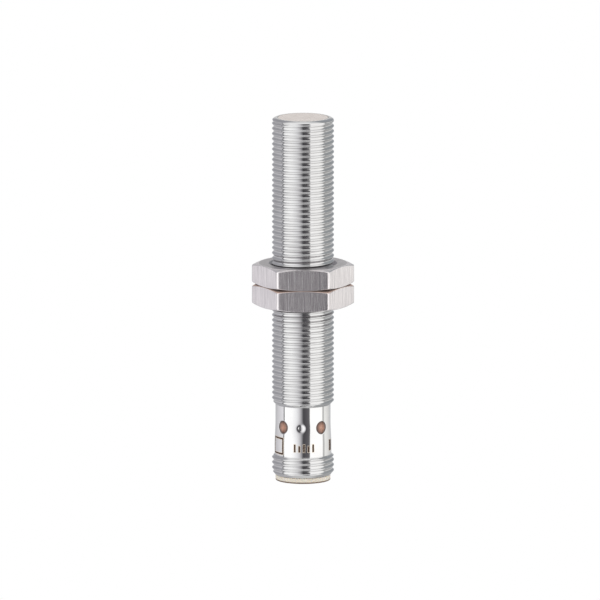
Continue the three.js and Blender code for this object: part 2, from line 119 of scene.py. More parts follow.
def grid_faces(rows, columns, closed_rows=False, shift=0):
    """Quads between neighbouring rows and columns of a grid whose columns close on themselves.
    With a shift, the last column of a row joins the first column of the row that many rows on."""
    last = rows if closed_rows else rows - 1
    row, column = np.meshgrid(np.arange(last), np.arange(columns), indexing="ij")
    after = (column + 1) % columns
    lift = np.where(column + 1 == columns, shift, 0)
    above = row + 1
    corners = [(row, column), (row + lift, after), (above + lift, after), (above, column)]
    keep = (above + lift < rows) if not closed_rows else np.ones_like(row, bool)
    flat = [((r % rows) * columns + c)[keep] for r, c in corners]
    return np.stack(flat, axis=-1)


def turned(profile, steps=96, closed=True):
    """A profile of (radius, height) rows carried round the axis: x = r cos a, y = r sin a, z = h."""
    profile = np.asarray(profile, float)
    angle = 2 * np.pi * np.arange(steps) / steps
    radius = profile[:, 0, None]
    height = np.repeat(profile[:, 1, None], steps, axis=1)
    points = np.stack([radius * np.cos(angle), radius * np.sin(angle), height], axis=-1)
    return points.reshape(-1, 3), grid_faces(len(profile), steps, closed)


def joined(*shells):
    """Several (points, faces) pairs as one pair."""
    points, faces, start = [], [], 0
    for shell_points, shell_faces in shells:
        points.append(shell_points)
        faces.append(shell_faces + start)
        start += len(shell_points)
    return np.concatenate(points), np.concatenate(faces)


def piece(name, shell, material, body, nodes=(), sharp=35.0, merge=1e-8):
    """A finished piece from (points, faces): seams welded, faces outward, smooth but for sharp edges."""
    points, faces = shell
    mesh = bpy.data.meshes.new(name)
    mesh.from_pydata(points.tolist(), [], faces.tolist())
    made = bmesh.new()
    made.from_mesh(mesh)
    bmesh.ops.remove_doubles(made, verts=made.verts, dist=merge)
    bmesh.ops.dissolve_degenerate(made, edges=made.edges, dist=merge)
    bmesh.ops.recalc_face_normals(made, faces=made.faces)
    made.to_mesh(mesh)
    made.free()
    mesh.polygons.foreach_set("use_smooth", np.ones(len(mesh.polygons), bool))
    mesh.set_sharp_from_angle(angle=math.radians(sharp))
    mesh.materials.append(material)
    made_piece = bpy.data.objects.new(name, mesh)
    bpy.context.scene.collection.objects.link(made_piece)
    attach(made_piece, body)
    if nodes:
        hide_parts(*nodes)
    return made_piece


def vertex_places(made):
    """The x, y and z of a piece's vertices."""
    places = np.zeros(len(made.data.vertices) * 3)
    made.data.vertices.foreach_get("co", places)
    return places.reshape(-1, 3).T


def mark_vertices(made, name, value):
    """Writes a number from 0 to 1 on each vertex of a piece, for its material to read."""
    attribute = made.data.attributes.new(name, "FLOAT", "POINT")
    attribute.data.foreach_set("value", value.astype(np.float32))


def rounded(profile, radius, steps=4):
    """A closed profile with each corner replaced by an arc of about that radius."""
    profile = np.asarray(profile, float)
    before = np.roll(profile, 1, axis=0) - profile
    after = np.roll(profile, -1, axis=0) - profile
    reach = np.minimum(np.linalg.norm(before, axis=1), np.linalg.norm(after, axis=1)) / 2
    cut = np.minimum(radius, reach)[:, None]
    start = profile + before / np.linalg.norm(before, axis=1)[:, None] * cut
    end = profile + after / np.linalg.norm(after, axis=1)[:, None] * cut
    t = (np.arange(steps + 1) / steps)[None, :, None]
    curve = (1 - t) ** 2 * start[:, None] + 2 * t * (1 - t) * profile[:, None] + t ** 2 * end[:, None]
    return curve.reshape(-1, 2)


# Materials

def new_material(name):
    """An empty node material: its nodes, links, shader and the object coordinates."""
    material = bpy.data.materials.new(name)
    material.use_nodes = True
    nodes, links = material.node_tree.nodes, material.node_tree.links
    shader = nodes["Principled BSDF"]
    place = nodes.new("ShaderNodeTexCoord").outputs["Object"]
    return material, nodes, links, shader, place


def noise(nodes, links, place, scale, stretch=(1, 1, 1), detail=3.0, roughness=0.55):
    """Noise on the object coordinates, in features of about 1 / scale metres, stretched per axis."""
    mapping = nodes.new("ShaderNodeMapping")
    mapping.inputs["Scale"].default_value = stretch
    links.new(place, mapping.inputs["Vector"])
    texture = nodes.new("ShaderNodeTexNoise")
    texture.inputs["Scale"].default_value = scale
    texture.inputs["Detail"].default_value = detail
    texture.inputs["Roughness"].default_value = roughness
    links.new(mapping.outputs["Vector"], texture.inputs["Vector"])
    return texture.outputs["Fac"]


def spread(nodes, links, value, low, high, start=0.3, end=0.7):
    """Maps a texture's start..end to low..high."""
    node = nodes.new("ShaderNodeMapRange")
    for name, number in (("From Min", start), ("From Max", end), ("To Min", low), ("To Max", high)):
        node.inputs[name].default_value = number
    links.new(value, node.inputs["Value"])
    return node.outputs["Result"]


def feed(links, source, socket):
    """Sets a socket to a number or a colour, or links it to another node's output."""
    if isinstance(source, tuple):
        socket.default_value = (*source, 1)
    elif isinstance(source, (int, float)):
        socket.default_value = source
    else:
        links.new(source, socket)


def maths(nodes, links, operation, first, second):
    """One operation on two values, each a number or another node's output."""
    node = nodes.new("ShaderNodeMath")
    node.operation = operation
    feed(links, first, node.inputs[0])
    feed(links, second, node.inputs[1])
    return node.outputs[0]


def colour_between(nodes, links, value, first, second, blend="MIX"):
    """Mixes two colours, or other nodes' outputs, by a value from 0 to 1."""
    node = nodes.new("ShaderNodeMix")
    node.data_type = "RGBA"
    node.blend_type = blend
    feed(links, value, node.inputs["Factor"])
    feed(links, first, node.inputs["A"])
    feed(links, second, node.inputs["B"])
    return node.outputs["Result"]


def ramp_of(nodes, links, value, stops):
    """A colour ramp with the given (position, colour) stops."""
    ramp = nodes.new("ShaderNodeValToRGB")
    links.new(value, ramp.inputs["Fac"])
    elements = ramp.color_ramp.elements
    while len(elements) < len(stops):
        elements.new(0.5)
    for element, (position, colour) in zip(elements, stops):
        element.position = position
        element.color = (*colour, 1)
    return ramp.outputs["Color"]


def attribute_value(nodes, name):
    """The number that a piece carries on its vertices under that name."""
    attribute = nodes.new("ShaderNodeAttribute")
    attribute.attribute_name = name
    return attribute.outputs["Fac"]


def bump(nodes, links, shader, *heights):
    """Bumps one over another, each (height output, distance in metres, strength)."""
    last = None
    for height, distance, strength in heights:
        node = nodes.new("ShaderNodeBump")
        node.inputs["Distance"].default_value = distance
        node.inputs["Strength"].default_value = strength
        links.new(height, node.inputs["Height"])
        if last:
            links.new(last, node.inputs["Normal"])
        last = node.outputs["Normal"]
    links.new(last, shader.inputs["Normal"])


def plated_metal(name, shade):
    """Bright nickel plating: cloudy roughness, fine lathe lines round the axis and a few dull spots. The
    shade scales its brightness, less in the cut thread than on the polished section."""
    material, nodes, links, shader, place = new_material(name)
    shader.inputs["Metallic"].default_value = 1.0
    cloud = noise(nodes, links, place, 260)
    tone = spread(nodes, links, cloud, 0, 1)
    dull, bright = 0.74 * shade, 0.82 * shade
    colour = colour_between(nodes, links, tone, (dull, 0.994 * dull, 0.994 * dull), (bright,) * 3)
    links.new(colour, shader.inputs["Base Color"])
    speck = noise(nodes, links, place, 2600, detail=5)
    links.new(spread(nodes, links, speck, 0.04, 0.08), shader.inputs["Roughness"])
    lathe_lines = noise(nodes, links, place, 1000, stretch=(0.05, 0.05, 9))
    bump(nodes, links, shader, (lathe_lines, 0.000003, 0.2), (cloud, 0.00001, 0.2))
    return material


def nut_metal():
    """Satin nickel over drawn hexagon bar: fine upright streaks, a few bright scratches, polished edges,
    smoother turned end faces, a warm brass tone on the rubbed chamfer and painted shade in the gap of
    the nuts."""
    material, nodes, links, shader, place = new_material("satin_nickel")
    faced, worn, painted_gap_shade, edge = (attribute_value(nodes, name) for name in ("faced", "worn", "painted_gap_shade", "edge"))
    streak = noise(nodes, links, place, 5200, stretch=(1, 1, 0.04), detail=5, roughness=0.65)
    cloud = noise(nodes, links, place, 420)
    scratch = noise(nodes, links, place, 2100, stretch=(1, 1, 0.05), detail=2)
    cut = noise(nodes, links, place, 900, detail=4)

    tone = spread(nodes, links, streak, 0, 1, 0.32, 0.68)
    colour = colour_between(nodes, links, tone, (0.66, 0.63, 0.64), (0.96, 0.92, 0.92))
    line = spread(nodes, links, scratch, 0, 0.8, 0.64, 0.70)
    colour = colour_between(nodes, links, line, colour, (1.0, 0.98, 0.98))
    tone = spread(nodes, links, cut, 0, 1)
    # painted shade: the turned end faces, countersink and bore get a darker copy of the nickel colour
    turned_face_painted_shade = colour_between(nodes, links, tone, (0.45, 0.43, 0.44), (0.54, 0.52, 0.53))
    colour = colour_between(nodes, links, faced, colour, turned_face_painted_shade)
    colour = colour_between(nodes, links, worn, colour, (0.80, 0.62, 0.54))
    # painted shade: the gap between the nuts is painted near black, standing in for the shade that falls
    # there
    colour = colour_between(nodes, links, painted_gap_shade, colour, (0.05, 0.04, 0.035))
    links.new(colour, shader.inputs["Base Color"])

    links.new(spread(nodes, links, worn, 0.95, 0.5, 0, 1), shader.inputs["Metallic"])
    polish = maths(nodes, links, "MAXIMUM", edge, spread(nodes, links, faced, 0, 0.6, 0, 1))
    gloss = spread(nodes, links, polish, 1.0, 0.35, 0, 1)
    roughness = maths(nodes, links, "MULTIPLY", spread(nodes, links, cloud, 0.60, 0.66), gloss)
    links.new(roughness, shader.inputs["Roughness"])
    bump(nodes, links, shader, (streak, 0.00003, 0.7), (scratch, 0.00002, 0.4))
    return material


def face_plastic():
    """Warm light grey moulded plastic with a fine grain and faint mottling."""
    material, nodes, links, shader, place = new_material("face_plastic")
    shader.inputs["Specular IOR Level"].default_value = 0.45
    mottle = noise(nodes, links, place, 500, detail=4)
    tone = spread(nodes, links, mottle, 0, 1)
    colour = colour_between(nodes, links, tone, (0.75, 0.68, 0.63), (0.84, 0.77, 0.725))
    links.new(colour, shader.inputs["Base Color"])
    grain = noise(nodes, links, place, 9000, detail=2)
    links.new(spread(nodes, links, grain, 0.38, 0.52), shader.inputs["Roughness"])
    bump(nodes, links, shader, (grain, 0.000006, 0.4))
    return material


def connector_plastic():
    """Cream moulded plastic, a little waxy, with faint flow marks and painted dark brown contact shade round
    its lower rim.
    """
    material, nodes, links, shader, place = new_material("cream_plastic")
    shader.inputs["Subsurface Weight"].default_value = 0.15
    shader.inputs["Subsurface Radius"].default_value = (0.0006, 0.0004, 0.0002)
    flow = noise(nodes, links, place, 350, stretch=(1, 1, 0.3), detail=4)
    tone = spread(nodes, links, flow, 0, 1)
    colour = colour_between(nodes, links, tone, (0.60, 0.55, 0.465), (0.68, 0.63, 0.54))
    split = nodes.new("ShaderNodeSeparateXYZ")
    links.new(place, split.inputs[0])
    # painted contact shade: a dark brown band low on the ring's outer rim, where it stands on the floor
    low = spread(nodes, links, split.outputs["Z"], 1, 0, 0.18 * MM, 0.40 * MM)
    across = nodes.new("ShaderNodeCombineXYZ")
    links.new(split.outputs["X"], across.inputs["X"])
    links.new(split.outputs["Y"], across.inputs["Y"])
    from_axis = nodes.new("ShaderNodeVectorMath")
    from_axis.operation = "LENGTH"
    links.new(across.outputs[0], from_axis.inputs[0])
    ring_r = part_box("contact_carrier")[1].x
    outer = spread(nodes, links, from_axis.outputs["Value"], 0, 1, ring_r - 0.30 * MM, ring_r - 0.08 * MM)
    rim = maths(nodes, links, "MULTIPLY", low, outer)
    colour = colour_between(nodes, links, rim, colour, (0.12, 0.075, 0.05))
    links.new(colour, shader.inputs["Base Color"])
    grain = noise(nodes, links, place, 7000, detail=2)
    links.new(spread(nodes, links, grain, 0.38, 0.44), shader.inputs["Roughness"])
    bump(nodes, links, shader, (grain, 0.000003, 0.08))
    return material


def window_amber():
    """Smoky amber plastic, paler in the middle, with painted shade darkening it to almost black-brown at its
    rim.
    """
    material, nodes, links, shader, place = new_material("amber_window")
    shader.inputs["Roughness"].default_value = 0.16
    shader.inputs["Coat Weight"].default_value = 0.6
    shader.inputs["Coat Roughness"].default_value = 0.05
    # painted shade: the amber darkens towards the plug's rim, as if shaded by its pocket
    amber = ramp_of(nodes, links, attribute_value(nodes, "rim"), [
        (0.0, (0.47, 0.24, 0.165)),
        (0.5, (0.31, 0.15, 0.095)),
        (0.8, (0.12, 0.048, 0.028)),
        (1.0, (0.055, 0.019, 0.011)),
    ])
    mottle = noise(nodes, links, place, 900, detail=3)
    tone = spread(nodes, links, mottle, 0, 1)
    shade = colour_between(nodes, links, tone, (0.50, 0.42, 0.38), (1, 1, 1))
    colour = colour_between(nodes, links, 0.8, amber, shade, blend="MULTIPLY")
    links.new(colour, shader.inputs["Base Color"])
    bump(nodes, links, shader, (mottle, 0.00001, 0.2))
    return material


def speckled(name, low, high, roughness, metallic=0.0, scale=2500, stretch=(1, 1, 1), depth=0.000006):
    """A finish for a small part: two close colours in a fine speckle, with matching bump and gloss."""
    material, nodes, links, shader, place = new_material(name)
    shader.inputs["Metallic"].default_value = metallic
    speck = noise(nodes, links, place, scale, stretch=stretch, detail=4)
    tone = spread(nodes, links, speck, 0, 1)
    links.new(colour_between(nodes, links, tone, low, high), shader.inputs["Base Color"])
    links.new(spread(nodes, links, speck, 0.8 * roughness, 1.2 * roughness), shader.inputs["Roughness"])
    bump(nodes, links, shader, (speck, depth, 0.4))
    return material


NICKEL = plated_metal("bright_nickel", 1.0)
THREAD_NICKEL = plated_metal("thread_nickel", 0.85)
SATIN = nut_metal()
FACE = face_plastic()
CREAM = connector_plastic()
AMBER = window_amber()
GOLD = speckled("contact_gold", (0.72, 0.50, 0.18), (0.85, 0.62, 0.26), 0.2, 1.0, stretch=(1, 1, 0.1))
HALO = speckled("etched_border", (0.78, 0.68, 0.55), (0.88, 0.80, 0.68), 0.35, 0.6, scale=6000)
ETCH = speckled("etched_brown", (0.035, 0.018, 0.012), (0.09, 0.05, 0.033), 0.5, 0.3, scale=6000)


# Barrel

def thread_radius(phase):
    """Radius by phase, where a whole number is a crest: a flat crest, flanks sixty degrees apart and a
    rounded root. With x the depth of a straight flank, the depth is (x + sqrt(x^2 + k^2)) / 2 near the
    crest, and the same curve turned over near the root."""
    x = (np.abs(phase - np.round(phase)) - CREST_HALF) * PITCH * math.sqrt(3)
    depth = (x + np.sqrt(x ** 2 + CREST_ROUND ** 2)) / 2
    spare = THREAD_DEPTH - depth
    return CREST_R - THREAD_DEPTH + (spare + np.sqrt(spare ** 2 + ROOT_ROUND ** 2)) / 2


def thread_shell(low, high, low_r, high_r, low_cut, high_cut, crest_z, bend=1.0, neck=0.0, collar=0.0):
    """A threaded tube as a closed shell. Its rows wind up the axis, so that crests and roots keep their
    shape, and the radius is the lesser of the thread's and that of the chamfer at each end. The upper
    chamfer, from its small radius s to the crest c over a height h, is s + (c - s) (1 - (1 - d / h)^bend).
    The neck is the depth of a narrow groove turned just below the upper end, and the collar is the length
    of that end in which the groove of the thread fades out."""
    first = math.floor(low / PITCH) - 3
    last = math.ceil(high / PITCH) + 3
    per_turn = len(PITCH_ROWS)
    rows = (last - first) * per_turn + 1
    count = np.arange(rows)
    phase = (first + count // per_turn + PITCH_ROWS[count % per_turn])[:, None]
    turn = (np.arange(TURN_STEPS) / TURN_STEPS)[None, :]
    height = np.clip(crest_z + PITCH * (phase + turn), low, high)
    radius = np.repeat(thread_radius(phase), TURN_STEPS, axis=1)
    fade = np.clip((height - high + collar) / COLLAR_FADE, 0, 1)
    radius += fade * np.maximum(CREST_R - COLLAR_CUT - radius, 0)
    low_limit = low_r + (height - low) / low_cut * (CREST_R - low_r)
    left = np.clip(1 - (high - height) / high_cut, 0, 1)
    high_limit = high_r + (CREST_R - high_r) * (1 - left ** bend)
    high_limit -= neck * np.exp(-((high - height - NECK_BELOW) / NECK_HALF) ** 2)
    radius = np.minimum(radius, np.minimum(low_limit, high_limit))
    angle = 2 * np.pi * turn
    points = np.stack([radius * np.cos(angle), radius * np.sin(angle), height], axis=-1)
    outside = points.reshape(-1, 3), grid_faces(rows, TURN_STEPS, shift=per_turn)
    inside = turned([(high_r, high), (BORE_R, high), (BORE_R, low), (low_r, low)], TURN_STEPS, closed=False)
    return joined(outside, inside)


def smooth_radius(azimuth, height):
    """Radius of the smooth section: a cosine flare towards the connector, less a punched dent, which is
    depth exp(-(distance / size)^3) with a wide shallow exp(-(distance / size)^2) drawn in round it."""
    share = np.clip((height - CONNECTOR_TOP - FLARE_START) / FLARE_LENGTH, 0, 1)
    radius = WAIST_R + (FLARE_R - WAIST_R) * (0.5 + 0.5 * np.cos(np.pi * share))
    across = WAIST_R * np.sin(azimuth - math.radians(DIMPLE_AZIMUTH))
    front = np.cos(azimuth - math.radians(DIMPLE_AZIMUTH)) > 0
    off = np.hypot(across, height - WINDOW_Z)
    dent = DIMPLE_DEPTH * np.exp(-(off / DIMPLE_R) ** 3) + DRAW_DEPTH * np.exp(-(off / DRAW_R) ** 2)
    return radius - np.where(front, dent, 0)


def window_row(azimuth, radius, around, lift):
    """A circle of that radius laid on the smooth section round a window's axis, raised by the lift: across
    and up are the circle's own, and outwards it is sqrt(R^2 - across^2) with R the section's radius there."""
    turn = math.radians(azimuth)
    across = radius * np.cos(around)
    up = WINDOW_Z + radius * np.sin(around)
    out = np.sqrt(smooth_radius(np.arcsin(across / WAIST_R) + turn, up) ** 2 - across ** 2) + lift
    x = across * math.cos(turn) + out * math.sin(turn)
    y = across * math.sin(turn) - out * math.cos(turn)
    return np.stack([x, y, up], axis=-1)


def window_patch(centre, low, high, rings=26):
    """A quarter of the smooth section as one grid from a window's edge out to the quarter's border.
    Each ray runs from the round edge to the border of the square, and each ring between blends the two,
    with the rings closer together near the window."""
    around = 2 * np.pi * np.arange(WINDOW_RAYS) / WINDOW_RAYS
    longest = np.maximum(np.abs(np.cos(around)), np.abs(np.sin(around)))
    side, rise = np.cos(around) / longest, np.sin(around) / longest
    border_turn = side * math.pi / 4
    border_z = WINDOW_Z + np.where(rise > 0, rise * (high - WINDOW_Z), rise * (WINDOW_Z - low))
    edge_turn = np.arcsin(WINDOW_R * np.cos(around) / WAIST_R)
    edge_z = WINDOW_Z + WINDOW_R * np.sin(around)
    share = (np.arange(rings + 1) / rings)[:, None] ** 1.4
    azimuth = edge_turn + (border_turn - edge_turn) * share + math.radians(centre)
    height = edge_z + (border_z - edge_z) * share
    radius = smooth_radius(azimuth, height)
    skin = np.stack([radius * np.sin(azimuth), -radius * np.cos(azimuth), height], axis=-1)

    # the pocket's floor, wall and lip, in steps of (share of the window's radius, depth)
    pocket = [(0.0, POCKET_DEPTH), (0.915, POCKET_DEPTH), (0.915, 0.12 * MM), (0.92, 0.07 * MM),
              (0.94, 0.03 * MM), (0.97, 0.008 * MM)]
    inner = [window_row(centre, part * WINDOW_R, around, -depth) for part, depth in pocket]
    points = np.concatenate([np.stack(inner), skin])
    return points.reshape(-1, 3), grid_faces(len(points), WINDOW_RAYS)


def smooth_shell(low, high):
    """The smooth section as a closed shell: four window patches outside, a plain bore inside. The bore's
    columns stand where the patches' rays meet the section's ends."""
    patches = [window_patch(azimuth, low, high) for azimuth in WINDOW_AZIMUTHS]
    around = 2 * np.pi * np.arange(WINDOW_RAYS) / WINDOW_RAYS
    upward = around[np.sin(around) >= np.abs(np.cos(around)) - 1e-9]
    turn = np.unique(np.round(np.cos(upward) / np.sin(upward) * math.pi / 4, 12))
    azimuths = np.concatenate([turn[:-1] + math.radians(azimuth) for azimuth in WINDOW_AZIMUTHS])
    rows = []
    for radius, height in ((None, high), (BORE_R, high), (BORE_R, low), (None, low)):
        z = np.full_like(azimuths, height)
        if radius is None:
            radius = smooth_radius(azimuths, z)
        rows.append(np.stack([radius * np.sin(azimuths), -radius * np.cos(azimuths), z], axis=-1))
    points = np.stack(rows)
    inside = points.reshape(-1, 3), grid_faces(len(rows), len(azimuths))
    return joined(*patches, inside)


def make_barrel():
    """The barrel in three lengths: main thread, smooth indicator section and connector thread."""
    lengths = {
        "barrel_main_thread": thread_shell(MAIN_BOTTOM, BARREL_HIGH, WAIST_R, RIM_R, CHAMFER, SHOULDER,
                                           MAIN_CREST_Z, bend=SHOULDER_BEND, collar=COLLAR),
        "barrel_indicator_section": smooth_shell(CONNECTOR_TOP, MAIN_BOTTOM),
        "barrel_connector_thread": thread_shell(BARREL_LOW, CONNECTOR_TOP, FLARE_R - 0.1 * MM, FLARE_R,
                                                CHAMFER, RUNOUT, CONNECTOR_CREST_Z, neck=NECK_DEPTH),
    }
    for name, shell in lengths.items():
        metal = NICKEL if name == "barrel_indicator_section" else THREAD_NICKEL
        piece(name, shell, metal, "sensor", ["barrel"], sharp=50, merge=2e-8)


make_barrel()


# Indicator windows

def make_window(number, azimuth):
    """A round plug in its pocket, with painted shade at the rim. With s the share of its radius, its outer
    face is sunk by a + b s^3, so that it is softly domed."""
    steps, rings = 64, 12
    around = 2 * np.pi * np.arange(steps) / steps
    profile = [(share, -PLUG_SUNK - PLUG_DOME * share ** 3) for share in np.arange(rings + 1) / rings]
    profile += [(1.0, -PLUG_MIDDLE), (1.0, -PLUG_THICK), (0.0, -PLUG_THICK)]
    rows = [window_row(azimuth, share * PLUG_R, around, lift) for share, lift in profile]
    shell = np.concatenate(rows), grid_faces(len(rows), steps)
    made = piece(f"indicator_window_{number}", shell, AMBER, "sensor", [f"window_{number}"])
    x, y, z = vertex_places(made)
    across = x * math.cos(math.radians(azimuth)) + y * math.sin(math.radians(azimuth))
    # the share of the plug's radius, which the material uses to paint shade towards the rim
    mark_vertices(made, "rim", np.clip(np.hypot(across, z - WINDOW_Z) / PLUG_R, 0, 1))


for index, window_azimuth in enumerate(WINDOW_AZIMUTHS):
    make_window(index + 1, window_azimuth)


# Etched marks: plain ticks, a square frame and a bar, as (azimuth, height, width, rise) in degrees and mm,
# each with a narrow pale border round it

MARK_PROUD = 0.012 * MM
BORDER_PROUD = 0.006 * MM
BORDER_SPARE = 0.08
MARK_ROOT = 0.02 * MM
MARKS = [
    (-17.0, 6.9, 0.34, 1.5),
    (-7.5, 6.75, 0.34, 1.2),
    (2.0, 6.9, 0.34, 1.5),
    (11.5, 6.75, 0.34, 1.2),
    (21.0, 6.9, 0.34, 1.5),
    (-45.5, 7.05, 0.32, 3.2),
    (-78.0, 7.05, 0.32, 3.2),
    (-61.75, 5.58, 2.9, 0.32),
    (-61.75, 8.52, 2.9, 0.32),
    (72.0, 7.0, 1.1, 2.1),
]


def mark_patch(azimuth, height, width, rise, proud, spare):
    """A thin curved plate on the smooth section: a grid over azimuth and height at the section's own
    radius plus a little, with its lower face sunk into the metal."""
    columns, rows = 9, 5
    half_turn = (width / 2 + spare) * MM / WAIST_R
    half_rise = (rise / 2 + spare) * MM
    turn = math.radians(azimuth) + np.linspace(-half_turn, half_turn, columns)[None, :]
    up = height * MM + np.linspace(-half_rise, half_rise, rows)[:, None]
    turn, up = np.broadcast_arrays(turn, up)
    layers = []
    for offset in (proud, -MARK_ROOT):
        radius = smooth_radius(turn, up) + offset
        layers.append(np.stack([radius * np.sin(turn), -radius * np.cos(turn), up], axis=-1))
    points = np.concatenate([layers[0], layers[1][:, ::-1]], axis=1)
    caps = []
    for start in (0, (rows - 1) * 2 * columns):
        ring = start + np.arange(2 * columns)
        back = ring[::-1]
        corners = [ring[:columns - 1], ring[1:columns], back[1:columns], back[:columns - 1]]
        caps.append(np.stack(corners, axis=-1))
    return points.reshape(-1, 3), np.concatenate([grid_faces(rows, 2 * columns), *caps])


def make_marks():
    """The dark etched marks, and the pale borders that stand a little lower round them."""
    lines = [mark_patch(*mark, MARK_PROUD, 0) for mark in MARKS]
    piece("etched_marks", joined(*lines), ETCH, "sensor")
    edges = [mark_patch(*mark, BORDER_PROUD, BORDER_SPARE) for mark in MARKS]
    piece("etched_mark_borders", joined(*edges), HALO, "sensor")


make_marks()


# Sensing cap, contact carrier and contacts

def make_cap():
    """A cup turned about the axis, with a small bevel where its face meets the barrel's rim."""
    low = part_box("sensing_cap")[0].z
    wall, face, edge = 0.5 * MM, 0.85 * MM, 0.06 * MM
    outline = [
        (0, BARREL_HIGH),
        (CAP_R - edge, BARREL_HIGH),
        (CAP_R, BARREL_HIGH - edge),
        (CAP_R, low),
        (CAP_R - wall, low),
        (CAP_R - wall, BARREL_HIGH - face),
        (0, BARREL_HIGH - face),
    ]
    piece("sensing_face_cap", turned(outline, 128, closed=False), FACE, "sensor",
          ["sensing_cap"])


make_cap()


def coding_key(cavity_r, floor):
    """A rounded bar along the cavity's back: its outline across the axis, shrunk by a bevel at the foot."""
    half, inner, outer = 0.5 * MM, cavity_r - 0.45 * MM, cavity_r + 0.1 * MM
    foot, head = 0.8 * MM, floor + 0.05 * MM
    outline = rounded([(-half, inner), (half, inner), (half, outer), (-half, outer)], 0.12 * MM)
    centre = outline.mean(axis=0)
    bevel = [(0, foot), (0.8, foot), (0.95, foot + 0.03 * MM), (1, foot + 0.12 * MM)]
    rows = []
    for scale, height in (*bevel, (1, head), (0, head)):
        across = centre + scale * (outline - centre)
        rows.append(np.column_stack([across, np.full(len(across), height)]))
    return np.concatenate(rows), grid_faces(len(rows), len(outline))


def make_carrier():
    """The connector's insert: a turned block with a ring at its foot, an open cavity below and a coding
    key in it. The middle that closes the cavity's floor overlaps the block a little."""
    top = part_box("contact_carrier")[1].z
    lip_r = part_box("contact_carrier")[1].x
    lip_top = 1.05 * MM
    cavity_r, floor = 4.2 * MM, 7.4 * MM
    hole_r, middle_r = 2 * MM, 2.02 * MM
    outline = rounded([
        (cavity_r, floor),
        (cavity_r, 0),
        (lip_r, 0),
        (lip_r, lip_top),
        (CAP_R, lip_top),
        (CAP_R, top),
        (hole_r, top),
        (hole_r, floor),
    ], 0.14 * MM)
    block = turned(outline, 128)
    middle = turned([(0, floor), (middle_r, floor), (middle_r, top), (0, top)], 48, closed=False)
    shell = joined(block, middle, coding_key(cavity_r, floor))
    piece("contact_insert", shell, CREAM, "sensor", ["contact_carrier"])


make_carrier()


# Nuts

def from_corner(angle):
    """Angle to the nearest of a hexagon's corners, of which one is on +X."""
    return np.abs((angle + math.pi / 6) % (math.pi / 3) - math.pi / 6)


def hexagon_radius(angle):
    """Distance from the axis to a hexagon whose flats are the nut's and whose corners are rounded."""
    off = from_corner(angle)
    flat = NUT_FLATS / np.cos(math.pi / 6 - off)
    centre = (NUT_FLATS - NUT_CORNER_ROUND) / math.cos(math.pi / 6)
    arc = centre * np.cos(off) + np.sqrt(np.maximum(NUT_CORNER_ROUND ** 2 - (centre * np.sin(off)) ** 2, 0))
    reach = math.atan2(NUT_CORNER_ROUND * 0.5, centre + NUT_CORNER_ROUND * math.cos(math.pi / 6))
    return np.where(off < reach, arc, flat)


